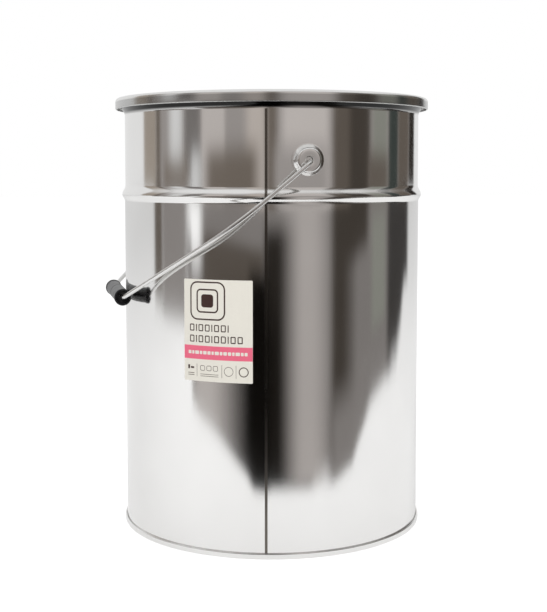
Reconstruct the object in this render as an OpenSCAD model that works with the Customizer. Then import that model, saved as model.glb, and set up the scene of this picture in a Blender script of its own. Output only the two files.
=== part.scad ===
// Tinplate pail with a lid, a lever-locked closing ring and a wire bail.
// The pail's axis is Z, the floor is at zero, and the ears stand on the Y axis, one at each end.
// An angle round the pail is measured from the front ear, at -Y, towards +X.

/* [Pail] */
// Outer diameter of the body below the bead
body_d = 286; // [240:1:320]
// Height of the body's curled rim above the floor
rim_z = 404.5; // [380:0.5:430]
// Thickness of the tinplate in the body, the base and the lid
sheet = 0.5; // [0.4:0.05:0.6]
// How much smaller the body's radius is above the bead
neck_in = 0.5; // [0:0.1:1]
// Angle of the side weld from the front ear
weld_angle = -14.7; // [-20:0.1:-12]
// Width of the side weld
weld_w = 2.4; // [1.5:0.1:4]
// How far the side weld stands out of the wall
weld_h = 0.25; // [0.1:0.05:0.5]

/* [Bead] */
// Distance from the rim down to the bead's crest
bead_drop = 86.5; // [84:0.5:104]
// How far the bead stands out of the body
bead_h = 2.5; // [1:0.1:3]
// Height of the slope below the bead's crest
bead_below = 6.5; // [5:0.5:10]
// Height of the slope above the bead's crest
bead_above = 8.5; // [6:0.5:12]

/* [Rim] */
// Outer radius of the rolled rim
curl_r = 2; // [1.6:0.1:2.2]
// How far the neck opens out below the rim
flare = 3.7; // [2.5:0.1:4.5]
// Height over which the neck opens out
flare_h = 9; // [7:0.5:12]

/* [Base] */
// Height of the double seam at the foot
seam_h = 5.2; // [4.4:0.1:5.8]
// Gap between the folded layers of the seam
lap_gap = 0.15; // [0.1:0.01:0.2]
// Height of the base panel above the floor
base_rise = 6; // [5.5:0.1:8]
// Radius of the ring pressed into the base
base_ring_r = 108; // [90:1:112]
// Height of the ring pressed into the base
base_ring_h = 1.5; // [1:0.1:3]

/* [Lid] */
// Depth of the lid's panel below its rim
lid_depth = 10; // [8:0.5:14]
// Depth of the groove round the panel
lid_groove = 2; // [1:0.1:3]
// Radius of the ring pressed into the panel
lid_ring_r = 88; // [70:1:100]
// Height of the ring pressed into the panel
lid_ring_h = 2; // [1:0.1:3]
// Gap between the lid's wall and the pail's neck
lid_gap = 0.8; // [0.5:0.1:1.2]
// Height of the sealing ring
gasket_h = 3.2; // [3:0.1:4]
// Width of the sealing ring
gasket_w = 3.4; // [2.6:0.1:3.6]
// Gap between the sealing ring and the pail's rim
seat_gap = 0.25; // [0.2:0.01:0.4]

/* [Closing ring] */
// Height of the closing ring
ring_h = 10.5; // [10:0.1:11]
// Thickness of the closing ring's sheet
ring_t = 0.8; // [0.6:0.05:0.9]
// Radius of the ring's rounded shoulder, along the middle of the sheet
ring_round = 2.8; // [2.4:0.1:3]
// Width of the ring's flat top
ring_flat = 2; // [1.5:0.1:2.5]
// How far the ring's lower lip turns in
ring_lip = 0.65; // [0.5:0.05:0.8]
// Gap between the ring's lower lip and the pail's rim
lift_gap = 0.35; // [0.3:0.05:0.5]
// Angle of the split in the ring from the front ear
split_angle = 104; // [100:1:120]
// Width of the split
split_w = 5; // [3:0.5:6]

/* [Lever lock] */
// Length of the lever along the ring
lever_len = 100; // [60:1:110]
// Height of the lever
lever_h = 6; // [5.6:0.1:6.4]
// Depth of the lever's channel
lever_depth = 3.6; // [3.2:0.1:4]
// Thickness of the lever's and the brackets' sheet
lock_t = 1; // [0.8:0.05:1.1]
// Distance of the lever's pivot from the ring's face
pivot_out = 3.7; // [3.5:0.1:4]
// Distance from the split to the pivot, and from the split to the catch
lock_half = 11; // [10:0.5:14]
// Distance from the lever's pivot to the link's pin
link_arm = 11; // [10:0.5:13]
// Radius of the round ends of lugs and eyes
eye_r = 2.4; // [2.2:0.05:2.5]
// Radius of the two rivets that the lever turns on
rivet_r = 1.2; // [1:0.05:1.3]
// Radius of the link's pin
link_pin_r = 1.1; // [0.9:0.05:1.2]
// Radius of the pin that the link hooks over
catch_r = 1.5; // [1.3:0.05:1.6]
// Height of the link
link_h = 2.6; // [2:0.1:2.7]
// Thickness of the link
link_t = 1.6; // [1.2:0.1:1.7]
// Gap round a pin that something turns on
pin_gap = 0.08; // [0.05:0.01:0.1]

/* [Ears] */
// Distance from the rim down to the ears' middles
ear_drop = 55; // [49:0.5:64]
// Outer radius of an ear's flange
ear_r = 14.8; // [13.5:0.1:16]
// Radius of an ear's cup where it meets the flange
cup_r = 12.4; // [11:0.1:13]
// Radius of the flat end of the cup
cup_face_r = 8.4; // [7.5:0.1:9]
// Height of the cup above the wall
ear_h = 5.6; // [5:0.1:6.5]
// Thickness of an ear's sheet
ear_t = 1; // [0.8:0.05:1.2]
// Radius of the hole that takes the wire
ear_hole_r = 3.5; // [3.2:0.1:3.8]

/* [Bail] */
// Diameter of the bail's wire
wire_d = 4; // [3.5:0.1:4.4]
// How far the grip hangs out beyond the closing ring
bail_over = 44; // [36:1:60]
// Gap between the raised wire and the closing ring
bail_gap = 2.5; // [1.5:0.1:5]
// Radius of the bail's shoulders
shoulder_r = 100; // [80:1:110]
// How far the shoulders start below the top of the closing ring
shoulder_drop = 16; // [10:0.5:20]
// Radius of the wire's bend outside each ear
ear_bend_r = 6; // [4:0.5:6.5]
// Radius of the wire's bend at each end of the grip
grip_bend_r = 8; // [6:0.5:10]
// Radius of the flattened head inside each ear
head_r = 4.4; // [4.2:0.1:5]
// Thickness of the flattened head
head_t = 1.6; // [1.2:0.1:2]

/* [Grip] */
// Length of the grip
grip_len = 96; // [70:1:110]
// Radius of the grip's end flanges
grip_r = 7.8; // [7.5:0.1:9]
// Radius of the grip between the flanges
barrel_r = 7.2; // [6.6:0.1:7.4]
// Width of each end flange
flange_w = 2.5; // [1.5:0.1:4]
// Depth of the cup in each end
grip_cup = 5; // [3:0.5:8]
// Wall round the cup
grip_wall = 1.4; // [1:0.1:2]
// Width of the groove round the middle
groove_w = 1.6; // [1:0.1:3]
// Depth of the groove
groove_d = 0.7; // [0.4:0.1:1]
// Gap between the wire and the grip's bore
grip_gap = 0.3; // [0.2:0.05:0.5]
// Gap between the resting grip and the wall of the pail
rest_gap = 0.35; // [0.3:0.05:0.5]

/* [Label] */
// Width of the label round the pail
label_w = 65; // [50:1:66]
// Height of the label
label_h = 90; // [70:1:100]
// Height of the label's lower edge above the floor
label_z = 155.5; // [120:0.5:190]
// Angle of the label's left edge from the front ear
label_angle = -45.4; // [-46:0.1:-44]
// Thickness of the paper
paper = 0.15; // [0.1:0.01:0.2]
// Thickness of the print
ink = 0.05; // [0.03:0.01:0.08]
// Height of the coloured band
stripe_h = 12; // [8:0.5:16]
// Height of the coloured band above the label's lower edge
stripe_z = 19.5; // [17:0.5:22]
// Side of the square picture
picture = 34; // [20:1:36]

/* [Hidden] */
$fn = 96;

tin = [0.78, 0.78, 0.77];
zinc = [0.66, 0.67, 0.68];
wire_grey = [0.72, 0.73, 0.74];
rubber_grey = [0.35, 0.34, 0.33];
grip_black = [0.10, 0.10, 0.11];
paper_cream = [0.91, 0.89, 0.85];
stripe_pink = [0.91, 0.41, 0.51];
print_brown = [0.24, 0.15, 0.13];

// Far enough to pass right through a piece that is cut
through = 20;
// Gap between pieces of sheet that are welded or pressed together
weld_gap = 0.1;
// Gap between the closing ring and the lid's rim
ring_fit = 0.15;
// Gap between sheets that slide past each other in the lock
slide_gap = 0.2;
// Gap between the pail's wall and the paper, and between the paper and the print
glue_gap = 0.03;
ink_gap = 0.01;

body_r = body_d / 2;
// The radii of the wall are taken along the middle of the sheet
wall_c = body_r - sheet / 2;
neck_c = wall_c - neck_in;
neck_r = neck_c + sheet / 2;

// The folded layers of the double seam lie one layer apart
layer = sheet + lap_gap;
seam_fold_z = 1.5 * sheet + lap_gap + layer;
seam_top_z = seam_h - layer - sheet / 2;
foot_bend = 0.4;
panel_bend = 2.5;

bead_z = rim_z - bead_drop;
bead_bottom = bead_z - bead_below;
bead_top = bead_z + bead_above;
bead_steps = 36;

curl_c = curl_r - sheet / 2;
curl_z = rim_z - curl_r;
curl_mid = neck_c + flare + curl_c;
curl_out = curl_mid + curl_r;
// Angle at which the rolled rim's free edge stops, close to the wall
curl_end = -70;
flare_steps = 10;

lip_r = curl_out + lift_gap;
ring_c = lip_r + ring_lip + ring_t / 2;
ring_out = ring_c + ring_t / 2;
gasket_z = rim_z + seat_gap;
lid_top_c = gasket_z + gasket_h + weld_gap + sheet / 2;
ring_top_c = lid_top_c + sheet / 2 + ring_fit + ring_t / 2;
ring_top = ring_top_c + ring_t / 2;
ring_bottom = ring_top - ring_h;
ring_edge = 0.6;
shoulder_mid = ring_c - ring_round;
lid_round = ring_round - ring_t / 2 - ring_fit - sheet / 2;
lid_wall_c = neck_c - sheet / 2 - lid_gap - sheet / 2;
lid_bend = 3;
lid_foot_bend = 1.5;
lid_panel_c = lid_top_c - lid_depth;
lid_groove_w = 8;
lid_slope = 5;
// Gap between the lid's skirt and the top of the pail's rim
skirt_gap = 0.4;

// The lever lock, in angles round the pail and heights
function round_angle(length, r) = length / r * 180 / PI;
lock_z = ring_bottom + ring_h / 2;
pivot_r = ring_out + pivot_out;
pivot_angle = split_angle + round_angle(lock_half, ring_out);
catch_angle = split_angle - round_angle(lock_half, ring_out);
link_angle = pivot_angle + round_angle(link_arm, pivot_r);
// The link's pin and the catch's pin stand this much nearer the ring than the pivot
link_pin_in = 0.6;
catch_in = 0.9;
link_pin_at = pivot_r - link_pin_in;
catch_at = pivot_r - catch_in;
lever_in = pivot_r - eye_r;
lever_out = lever_in + lever_depth;
lever_end = pivot_angle + round_angle(lever_len, ring_out);
// The lever's web starts this far past the link's pin, clear of the swinging link
web_gap = 7;
web_start = pivot_angle + round_angle(link_arm + web_gap, pivot_r);
lug_z = lever_h / 2 + slide_gap;
rivet_head_h = 0.4;
rivet_lip = 0.7;
bracket_half = 5;
plate_t = 0.8 * lock_t;
link_eye_r = 2.2;
// Gap between the hook and the pin that it goes over, and the thickness of the hook
hook_gap = 0.5;
hook_t = 1.3;
// The link's bar stops this far short of the hook's inner face
hook_skin = 0.2;
hook_start = -30;
hook_turn = 210;

// The ears and the bail
ear_z = rim_z - ear_drop;
flange_t = 0.7 * ear_t;
cup_round = 2.6;
cup_slant = 15;
// How far the cup's wall runs in past the wall of the pail before it is cut to fit
cup_sink = 1;
hole_slack = 0.3;
wire_r = wire_d / 2;
// The bends are a hair thicker than the straights, which run this far into them
bend_swell = 0.03;
bend_in = 0.3;
bail_z = ear_z - (ear_hole_r - wire_r - hole_slack);
leg_u = ring_out + wire_r + bail_gap;
reach = ring_out + bail_over;
rest_angle = acos((body_r + grip_r + rest_gap) / reach);
shoulder = [leg_u - shoulder_r, ring_top - bail_z - shoulder_drop];
// The bends at the grip start this far inside its ends
corner_in = 1;
corner = [grip_len / 2 - corner_in, reach - grip_bend_r];
between = corner - shoulder;
// Angle at which one straight touches both the shoulder's arc and the grip's bend
bail_angle = atan2(between[1], between[0]) - acos((shoulder_r - grip_bend_r) / norm(between));
// Gap between the wall and the wire's flattened head
head_gap = 1.9;
head_at = neck_r + head_gap;

// The label, with its print
label_in = body_r + glue_gap;
label_out = label_in + paper;
ink_in = label_out + ink_gap;
ink_out = ink_in + ink;
label_end = label_angle + round_angle(label_w, body_r);
label_mid = (label_angle + label_end) / 2;
margin = 6;
line_h = 7;
line_gap = 3;
line_rise = 2;
stripe_edge = 0.1;
frame_w = 2;
frame_round = 6;
field_round = 4.5;
tablet_round = 3;
foot_edge = 4;
divider_w = 0.6;
dividers = [0.2, 0.57, 0.77];

function unit(v) = v / norm(v);
function left_of(v) = [-v[1], v[0]];
function arc(c, r, a0, a1, n = 8) =
    [for (i = [0:n]) c + r * [cos(a0 + (a1 - a0) * i / n), sin(a0 + (a1 - a0) * i / n)]];
function reversed(p) = [for (i = [len(p) - 1:-1:0]) p[i]];

// Point i of a path, moved to the left by d, with its corner kept square to both sides
function moved(p, i, d) =
    let (a = left_of(unit(i > 0 ? p[i] - p[i - 1] : p[1] - p[0])),
         b = i < len(p) - 1 ? left_of(unit(p[i + 1] - p[i])) : a,
         m = a + b)
    p[i] + m * (2 * d / (m * m));
function beside(p, d) = [for (i = [0:len(p) - 1]) moved(p, i, d)];

// Section of a sheet that follows a path, from d0 to d1 on its left
module section(p, d0, d1) {
    polygon(concat(beside(p, d0), reversed(beside(p, d1))));
}

// Smooth step from 0 to 1
function ease(s) = (1 - cos(180 * s)) / 2;
// Height of a round ridge at the place x, with its middle at c and its feet at c - w0 and c + w1
function ridge(x, c, w0, w1, h) =
    let (d = x - c, w = d > 0 ? w1 : w0)
    abs(d) < w ? h * pow(cos(90 * d / w), 2) : 0;
// Ring pressed into a flat panel at the height z
function pressed_ring(r, h, z, w = 5, n = 10) =
    [for (i = [0:n]) let (x = r - w + 2 * w * i / n) [x, z + ridge(x, r, w, w, h)]];

// Draws its children round the pail, from one angle to another
module round_pail(a0, a1) {
    rotate([0, 0, a0 - 90])
        rotate_extrude(angle = a1 - a0)
            children();
}

module at_angle(a, r, z = 0) {
    rotate([0, 0, a])
        translate([0, -r, z])
            children();
}

// Middle of the body's wall from the double seam up to the flare
wall_path = concat(
    [[wall_c, seam_h + weld_gap]],
    [for (i = [0:bead_steps])
        let (z = bead_bottom + (bead_top - bead_bottom) * i / bead_steps,
             s = max(0, (z - bead_z) / bead_above))
        [wall_c - neck_in * ease(s) + ridge(z, bead_z, bead_below, bead_above, bead_h), z]],
    [[neck_c, curl_z - flare_h]]);

body_path = concat(
    [[wall_c + 2 * layer, seam_top_z]],
    arc([wall_c + layer, seam_fold_z], layer, 0, -180),
    wall_path,
    [for (i = [1:flare_steps - 1])
        [neck_c + flare * ease(i / flare_steps), curl_z - flare_h * (1 - i / flare_steps)]],
    arc([curl_mid, curl_z], curl_c, 180, curl_end, 16));

module body_shell() {
    weld_half = round_angle(weld_w / 2, body_r);
    color(tin) {
        union() {
            rotate_extrude() section(body_path, -sheet / 2, sheet / 2);
            round_pail(weld_angle - weld_half, weld_angle + weld_half)
                section(wall_path, -sheet / 2 - weld_h, sheet / 4);
        }
    }
}

base_wall_c = wall_c - layer;
base_panel_c = base_rise + sheet / 2;
foot_z = sheet / 2;
seam_out_c = wall_c + 3 * layer;
base_path = concat(
    [[0, base_panel_c]],
    pressed_ring(base_ring_r, base_ring_h, base_panel_c),
    arc([base_wall_c - panel_bend, base_panel_c - panel_bend], panel_bend, 90, 0, 6),
    arc([base_wall_c + foot_bend, foot_z + foot_bend], foot_bend, 180, 270, 4),
    arc([seam_out_c - foot_bend, foot_z + foot_bend], foot_bend, 270, 360, 4),
    arc([wall_c + 2 * layer, seam_top_z], layer, 0, 180),
    [[wall_c + layer, seam_fold_z]]);

module base_end() {
    color(tin)
        rotate_extrude()
            section(base_path, -sheet / 2, sheet / 2);
}

groove_c = lid_panel_c - lid_groove;
lid_path = concat(
    [[0, lid_panel_c]],
    pressed_ring(lid_ring_r, lid_ring_h, lid_panel_c),
    [for (i = [0:6])
        [lid_wall_c - lid_groove_w - lid_slope * (1 - i / 6), lid_panel_c - lid_groove * ease(i / 6)]],
    arc([lid_wall_c - lid_foot_bend, groove_c + lid_foot_bend], lid_foot_bend, 270, 360, 5),
    arc([lid_wall_c + lid_bend, lid_top_c - lid_bend], lid_bend, 180, 90, 6),
    arc([shoulder_mid, lid_top_c - lid_round], lid_round, 90, 0, 6),
    [[shoulder_mid + lid_round, rim_z + skirt_gap]]);

module lid() {
    color(tin)
        rotate_extrude()
            section(lid_path, -sheet / 2, sheet / 2);
}

module lid_gasket() {
    soft = 0.8;
    low = [curl_mid - gasket_w / 2, gasket_z];
    high = [curl_mid + gasket_w / 2, gasket_z + gasket_h];
    color(rubber_grey)
        rotate_extrude()
            polygon([low, [high[0], low[1]], [high[0], high[1] - soft], [high[0] - soft, high[1]],
                     [low[0], high[1]]]);
}

ring_path = concat(
    [[shoulder_mid - ring_flat, ring_top_c]],
    arc([shoulder_mid, ring_top_c - ring_round], ring_round, 90, 0),
    arc([ring_c - ring_edge, ring_bottom + ring_t / 2 + ring_edge], ring_edge, 0, -90, 4),
    [[lip_r, ring_bottom + ring_t / 2]]);

module ring_band() {
    half = round_angle(split_w / 2, ring_out);
    color(tin)
        round_pail(split_angle + half, split_angle + 360 - half)
            section(ring_path, -ring_t / 2, ring_t / 2);
}

// A bracket welded to the closing ring: a curved plate with a lug at its top and its bottom
module bracket(a, r, pin_r) {
    plate_in = ring_out + weld_gap;
    half = round_angle(bracket_half, ring_out);
    color(zinc)
        difference() {
            union() {
                round_pail(a - half, a + half)
                    translate([plate_in, lock_z - lug_z - lock_t])
                        square([plate_t, 2 * (lug_z + lock_t)]);
                for (z = [lock_z - lug_z - lock_t, lock_z + lug_z]) {
                    at_angle(a, r, z) cylinder(r = eye_r, h = lock_t);
                    at_angle(a, r, z)
                        translate([-eye_r, 0, 0])
                            cube([2 * eye_r, r - plate_in - plate_t / 2, lock_t]);
                }
            }
            at_angle(a, r, lock_z - through / 2) cylinder(r = pin_r + pin_gap, h = through);
        }
}

module lever_bracket() {
    bracket(pivot_angle, pivot_r, rivet_r);
}

module catch_bracket() {
    bracket(catch_angle, catch_at, catch_r);
}

// The lever is a curved channel whose flanges run on past its web as a fork
module latch_lever() {
    bottom = lock_z - lever_h / 2;
    color(zinc)
        difference() {
            union() {
                for (z = [bottom, bottom + lever_h - lock_t]) {
                    round_pail(pivot_angle, lever_end)
                        translate([lever_in, z])
                            square([lever_depth, lock_t]);
                    at_angle(pivot_angle, pivot_r, z) cylinder(r = eye_r, h = lock_t);
                }
                round_pail(web_start, lever_end)
                    translate([lever_out - lock_t, bottom])
                        square([lock_t, lever_h]);
            }
            at_angle(pivot_angle, pivot_r, lock_z - through / 2)
                cylinder(r = rivet_r + pin_gap, h = through);
            at_angle(link_angle, link_pin_at, lock_z - through / 2)
                cylinder(r = link_pin_r + pin_gap, h = through);
        }
}

function place(a, r) = [r * sin(a), -r * cos(a)];
link_from = place(link_angle, link_pin_at);
link_to = place(catch_angle, catch_at);
link_len = norm(link_to - link_from);

// The link runs from its pin on the lever to an open hook over the catch's pin
module latch_link() {
    hook_in = catch_r + hook_gap;
    dir = link_to - link_from;
    color(zinc)
        translate([link_from[0], link_from[1], lock_z - link_h / 2])
            rotate([0, 0, atan2(dir[1], dir[0])])
                difference() {
                    union() {
                        cylinder(r = link_eye_r, h = link_h);
                        translate([0, -link_t / 2, 0])
                            cube([link_len - hook_in - hook_skin, link_t, link_h]);
                        translate([link_len, 0, 0])
                            rotate([0, 0, hook_start])
                                rotate_extrude(angle = hook_turn)
                                    translate([hook_in, 0])
                                        square([hook_t, link_h]);
                    }
                    translate([0, 0, -through / 2]) cylinder(r = link_pin_r + pin_gap, h = through);
                }
}

// A rivet between two heights, with a flat head at each end
module rivet(r, z0, z1) {
    translate([0, 0, z0 - rivet_head_h]) cylinder(r = r, h = z1 - z0 + 2 * rivet_head_h);
    for (z = [z0 - rivet_head_h, z1]) translate([0, 0, z]) cylinder(r = r + rivet_lip, h = rivet_head_h);
}

module lever_rivets() {
    outer = lug_z + lock_t;
    inner = lever_h / 2 - lock_t;
    color(wire_grey)
        at_angle(pivot_angle, pivot_r) {
            rivet(rivet_r, lock_z - outer, lock_z - inner);
            rivet(rivet_r, lock_z + inner, lock_z + outer);
        }
}

module link_pin() {
    color(wire_grey)
        at_angle(link_angle, link_pin_at)
            rivet(link_pin_r, lock_z - lever_h / 2, lock_z + lever_h / 2);
}

module catch_pin() {
    outer = lug_z + lock_t;
    color(wire_grey)
        at_angle(catch_angle, catch_at)
            rivet(catch_r, lock_z - outer, lock_z + outer);
}

// An ear is one pressing: a flange that fits the wall and a cup with a hole in its flat end
cup_path = concat(
    [[cup_r, neck_r - cup_sink], [cup_r, neck_r + ear_t]],
    arc([cup_face_r, neck_r + ear_h - ear_t / 2 - cup_round], cup_round, cup_slant, 90, 5),
    [[ear_hole_r, neck_r + ear_h - ear_t / 2]]);

module ear() {
    seat = neck_r + weld_gap;
    color(tin)
        union() {
            difference() {
                intersection() {
                    translate([0, 0, ear_z]) rotate([90, 0, 0]) cylinder(r = ear_r, h = seat + through);
                    translate([0, 0, ear_z - through]) cylinder(r = seat + flange_t, h = 2 * through);
                }
                translate([0, 0, ear_z - through]) cylinder(r = seat, h = 2 * through);
                translate([0, 0, ear_z]) rotate([90, 0, 0]) cylinder(r = cup_r, h = seat + through);
            }
            difference() {
                translate([0, 0, ear_z])
                    rotate([90, 0, 0])
                        rotate_extrude()
                            section(cup_path, -ear_t / 2, ear_t / 2);
                translate([0, 0, ear_z - through]) cylinder(r = seat, h = 2 * through);
            }
        }
}

module ear_front() {
    ear();
}

module ear_rear() {
    rotate([0, 0, 180]) ear();
}

// The bail is drawn flat, with its legs along y and its pivots on the x axis, and then laid down
module hang_bail() {
    translate([0, 0, bail_z])
        rotate([0, -rest_angle, 0])
            rotate([0, 0, 90])
                children();
}

// A straight length of wire, whose ends run a little way into the bends
module rod(p, q) {
    translate([p[0], p[1], 0])
        rotate([0, 0, atan2(q[1] - p[1], q[0] - p[0])])
            rotate([0, 90, 0])
                translate([0, 0, -bend_in])
                    cylinder(r = wire_r, h = norm(q - p) + 2 * bend_in);
}

module bend(c, r, a0, a1) {
    translate([c[0], c[1], 0])
        rotate([0, 0, a0])
            rotate_extrude(angle = a1 - a0)
                translate([r, 0])
                    circle(r = wire_r + bend_swell);
}

module bail_half() {
    out = [cos(bail_angle), sin(bail_angle)];
    ear_bend = [leg_u - ear_bend_r, ear_bend_r];
    translate([head_at, 0, 0]) rotate([0, 90, 0]) cylinder(r = head_r, h = head_t);
    rod([head_at + head_t / 2, 0], [ear_bend[0], 0]);
    bend(ear_bend, ear_bend_r, -90, 0);
    rod([leg_u, ear_bend_r], [leg_u, shoulder[1]]);
    bend(shoulder, shoulder_r, 0, bail_angle);
    rod(shoulder + shoulder_r * out, corner + grip_bend_r * out);
    bend(corner, grip_bend_r, bail_angle, 90);
}

module bail_wire() {
    color(wire_grey)
        hang_bail() {
            bail_half();
            mirror([1, 0, 0]) bail_half();
            rod([-corner[0], reach], [corner[0], reach]);
        }
}

module grip() {
    bore = wire_r + grip_gap;
    half = grip_len / 2;
    soft = 0.4;
    side = [[half - grip_cup, bore], [half - grip_cup, grip_r - grip_wall], [half, grip_r - grip_wall],
            [half, grip_r - soft], [half - soft, grip_r], [half - flange_w, grip_r],
            [half - flange_w - soft, barrel_r], [groove_w / 2 + soft, barrel_r],
            [groove_w / 2, barrel_r - groove_d]];
    near = [for (p = side) [p[1], p[0]]];
    far = [for (p = reversed(side)) [p[1], -p[0]]];
    color(grip_black)
        hang_bail()
            translate([0, reach, 0])
                rotate([0, 90, 0])
                    rotate_extrude()
                        polygon(concat(near, far));
}

module label() {
    color(paper_cream)
        round_pail(label_angle, label_end)
            translate([label_in, label_z])
                square([paper, label_h]);
}

// A rectangle printed on the label, from the label's lower left corner
module printed(x, z, w, h) {
    a = label_angle + round_angle(x, body_r);
    round_pail(a, a + round_angle(w, body_r))
        translate([ink_in, label_z + z])
            square([ink, h]);
}

module label_stripe() {
    color(stripe_pink) printed(stripe_edge, stripe_z, label_w - 2 * stripe_edge, stripe_h);
}

// A square with round corners, standing on its middle
module tile(side, r) {
    square([side, side - 2 * r], center = true);
    square([side - 2 * r, side], center = true);
    for (x = [-1, 1], y = [-1, 1])
        translate([x, y] * (side / 2 - r)) circle(r = r);
}

// The picture is a plain tablet in a frame, and the lines stand for lettering
module label_print() {
    line_z = stripe_z + stripe_h + line_rise;
    picture_z = (line_z + 2 * line_h + line_gap + label_h) / 2;
    foot_h = stripe_z - 2 * foot_edge;
    color(print_brown) {
        intersection() {
            round_pail(label_angle, label_end)
                translate([ink_in, label_z])
                    square([ink, label_h]);
            rotate([0, 0, label_mid])
                translate([0, 0, label_z + picture_z])
                    rotate([90, 0, 0])
                        linear_extrude(height = body_r + through)
                            difference() {
                                tile(picture, frame_round);
                                difference() {
                                    tile(picture - 2 * frame_w, field_round);
                                    tile(picture / 2, tablet_round);
                                }
                            }
        }
        for (i = [0, 1])
            printed(margin, line_z + i * (line_h + line_gap), label_w - (3 - i) * margin, line_h);
        for (x = dividers)
            printed(x * label_w, foot_edge, divider_w, foot_h);
    }
}

body_shell();
base_end();
lid();
lid_gasket();
ring_band();
lever_bracket();
catch_bracket();
latch_lever();
latch_link();
lever_rivets();
link_pin();
catch_pin();
ear_front();
ear_rear();
bail_wire();
grip();
label();
label_stripe();
label_print();
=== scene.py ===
"""A tinplate pail with a closing ring, a wire bail and a paper label, built round its CAD frame."""

import math

import bmesh
import bpy
from bpy.props import FloatProperty, FloatVectorProperty, PointerProperty
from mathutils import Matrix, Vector


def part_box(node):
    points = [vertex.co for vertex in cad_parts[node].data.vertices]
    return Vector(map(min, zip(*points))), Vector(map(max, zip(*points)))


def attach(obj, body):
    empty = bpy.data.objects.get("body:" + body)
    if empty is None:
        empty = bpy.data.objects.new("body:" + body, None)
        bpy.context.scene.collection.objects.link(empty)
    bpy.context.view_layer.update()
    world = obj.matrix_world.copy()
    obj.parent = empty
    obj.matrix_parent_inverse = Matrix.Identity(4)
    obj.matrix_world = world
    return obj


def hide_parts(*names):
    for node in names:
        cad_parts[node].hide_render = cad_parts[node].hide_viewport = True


bl_info = {
    "name": "Tinplate pail",
    "version": (1, 0, 0),
    "blender": (4, 5, 0),
    "location": "3D View > Sidebar > Pail",
    "description": "Builds a tinplate pail with a closing ring, a wire bail and a paper label",
    "category": "Object",
}

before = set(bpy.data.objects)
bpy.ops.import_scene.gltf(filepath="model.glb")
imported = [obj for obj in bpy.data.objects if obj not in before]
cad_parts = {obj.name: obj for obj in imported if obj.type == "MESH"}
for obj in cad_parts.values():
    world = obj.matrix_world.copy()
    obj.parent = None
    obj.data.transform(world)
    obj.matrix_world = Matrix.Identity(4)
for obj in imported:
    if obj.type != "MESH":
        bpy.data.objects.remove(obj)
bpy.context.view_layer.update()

MM = 0.001
FULL_TURN = 2 * math.pi
# Steps round the pail, and round small turned pieces
ROUND_STEPS = 240
SMALL_STEPS = 96
MERGE_GAP = 2e-6

RIM_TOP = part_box("body_shell")[1].z
RING_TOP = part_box("ring_band")[1].z
RING_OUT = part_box("ring_band")[1].y
RING_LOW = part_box("ring_band")[0].z
EAR_MIDDLE = (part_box("ear_front")[0].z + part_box("ear_front")[1].z) / 2
LABEL_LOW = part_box("label")[0].z
LABEL_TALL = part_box("label")[1].z - LABEL_LOW


def length(name, description, default):
    return FloatProperty(name=name, description=description, default=default, unit="LENGTH", precision=5)


def turn(name, description, degrees):
    return FloatProperty(name=name, description=description, default=math.radians(degrees), subtype="ANGLE")


def colour(name, description, default):
    return FloatVectorProperty(name=name, description=description, default=default, subtype="COLOR",
                               min=0.0, max=1.0)


class PailSizes(bpy.types.PropertyGroup):
    body_radius: length("Body radius", "Outer radius of the wall below the bead", 0.143)
    sheet: length("Sheet", "Thickness of the tinplate", 0.0005)
    neck_in: length("Neck", "How much smaller the wall is above the bead", 0.0005)
    bead_height: length("Bead height", "Height of the bead's crest above the floor", 0.318)
    bead_out: length("Bead", "How far the bead stands out of the body", 0.0025)
    bead_below: length("Slope below", "Height of the slope below the bead's crest", 0.0065)
    bead_above: length("Slope above", "Height of the slope above the bead's crest", 0.0085)
    curl_radius: length("Curl radius", "Outer radius of the rolled rim", 0.002)
    flare: length("Flare", "How far the neck opens out below the rim", 0.0037)
    flare_height: length("Flare height", "Height over which the neck opens out", 0.009)
    seam_height: length("Seam height", "Height of the double seam at the foot", 0.0052)
    base_rise: length("Base rise", "Height of the base panel above the floor", 0.006)
    lid_depth: length("Lid depth", "Depth of the lid's panel below its rim", 0.010)
    weld_width: length("Weld width", "Width of the side weld", 0.0024)
    weld_angle: turn("Weld angle", "Angle of the side weld from the front ear", -14.7)
    ring_sheet: length("Ring sheet", "Thickness of the closing ring", 0.0008)
    ring_round: length("Ring shoulder", "Radius of the closing ring's shoulder", 0.0028)
    split_angle: turn("Split angle", "Angle of the closing ring's split from the front ear", 104.0)
    split_width: length("Split width", "Width of the closing ring's split", 0.005)


class PailFittings(bpy.types.PropertyGroup):
    ear_radius: length("Ear radius", "Outer radius of an ear's flange", 0.0148)
    cup_radius: length("Cup radius", "Radius of an ear's cup at its foot", 0.0124)
    cup_face: length("Cup face", "Radius of the flat end of the cup", 0.0084)
    ear_rise: length("Ear rise", "Height of the cup above the wall", 0.0056)
    ear_sheet: length("Ear sheet", "Thickness of an ear's sheet", 0.001)
    ear_hole: length("Ear hole", "Radius of the hole for the wire", 0.0035)
    wire_radius: length("Wire radius", "Radius of the bail's wire", 0.002)
    bail_over: length("Bail reach", "How far the grip hangs out beyond the closing ring", 0.044)
    shoulder_radius: length("Shoulder radius", "Radius of the bail's shoulders", 0.1)
    grip_length: length("Grip length", "Length of the grip", 0.096)
    grip_radius: length("Grip radius", "Radius of the grip's end flanges", 0.0078)
    barrel_radius: length("Barrel radius", "Radius of the grip between its flanges", 0.0072)
    label_angle: turn("Label angle", "Angle of the label's left edge from the front ear", -45.4)
    label_width: length("Label width", "Width of the label round the wall", 0.065)
    paper: length("Paper", "Thickness of the label's paper", 0.00015)
    ink: length("Ink", "Thickness of the print", 0.00005)


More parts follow.
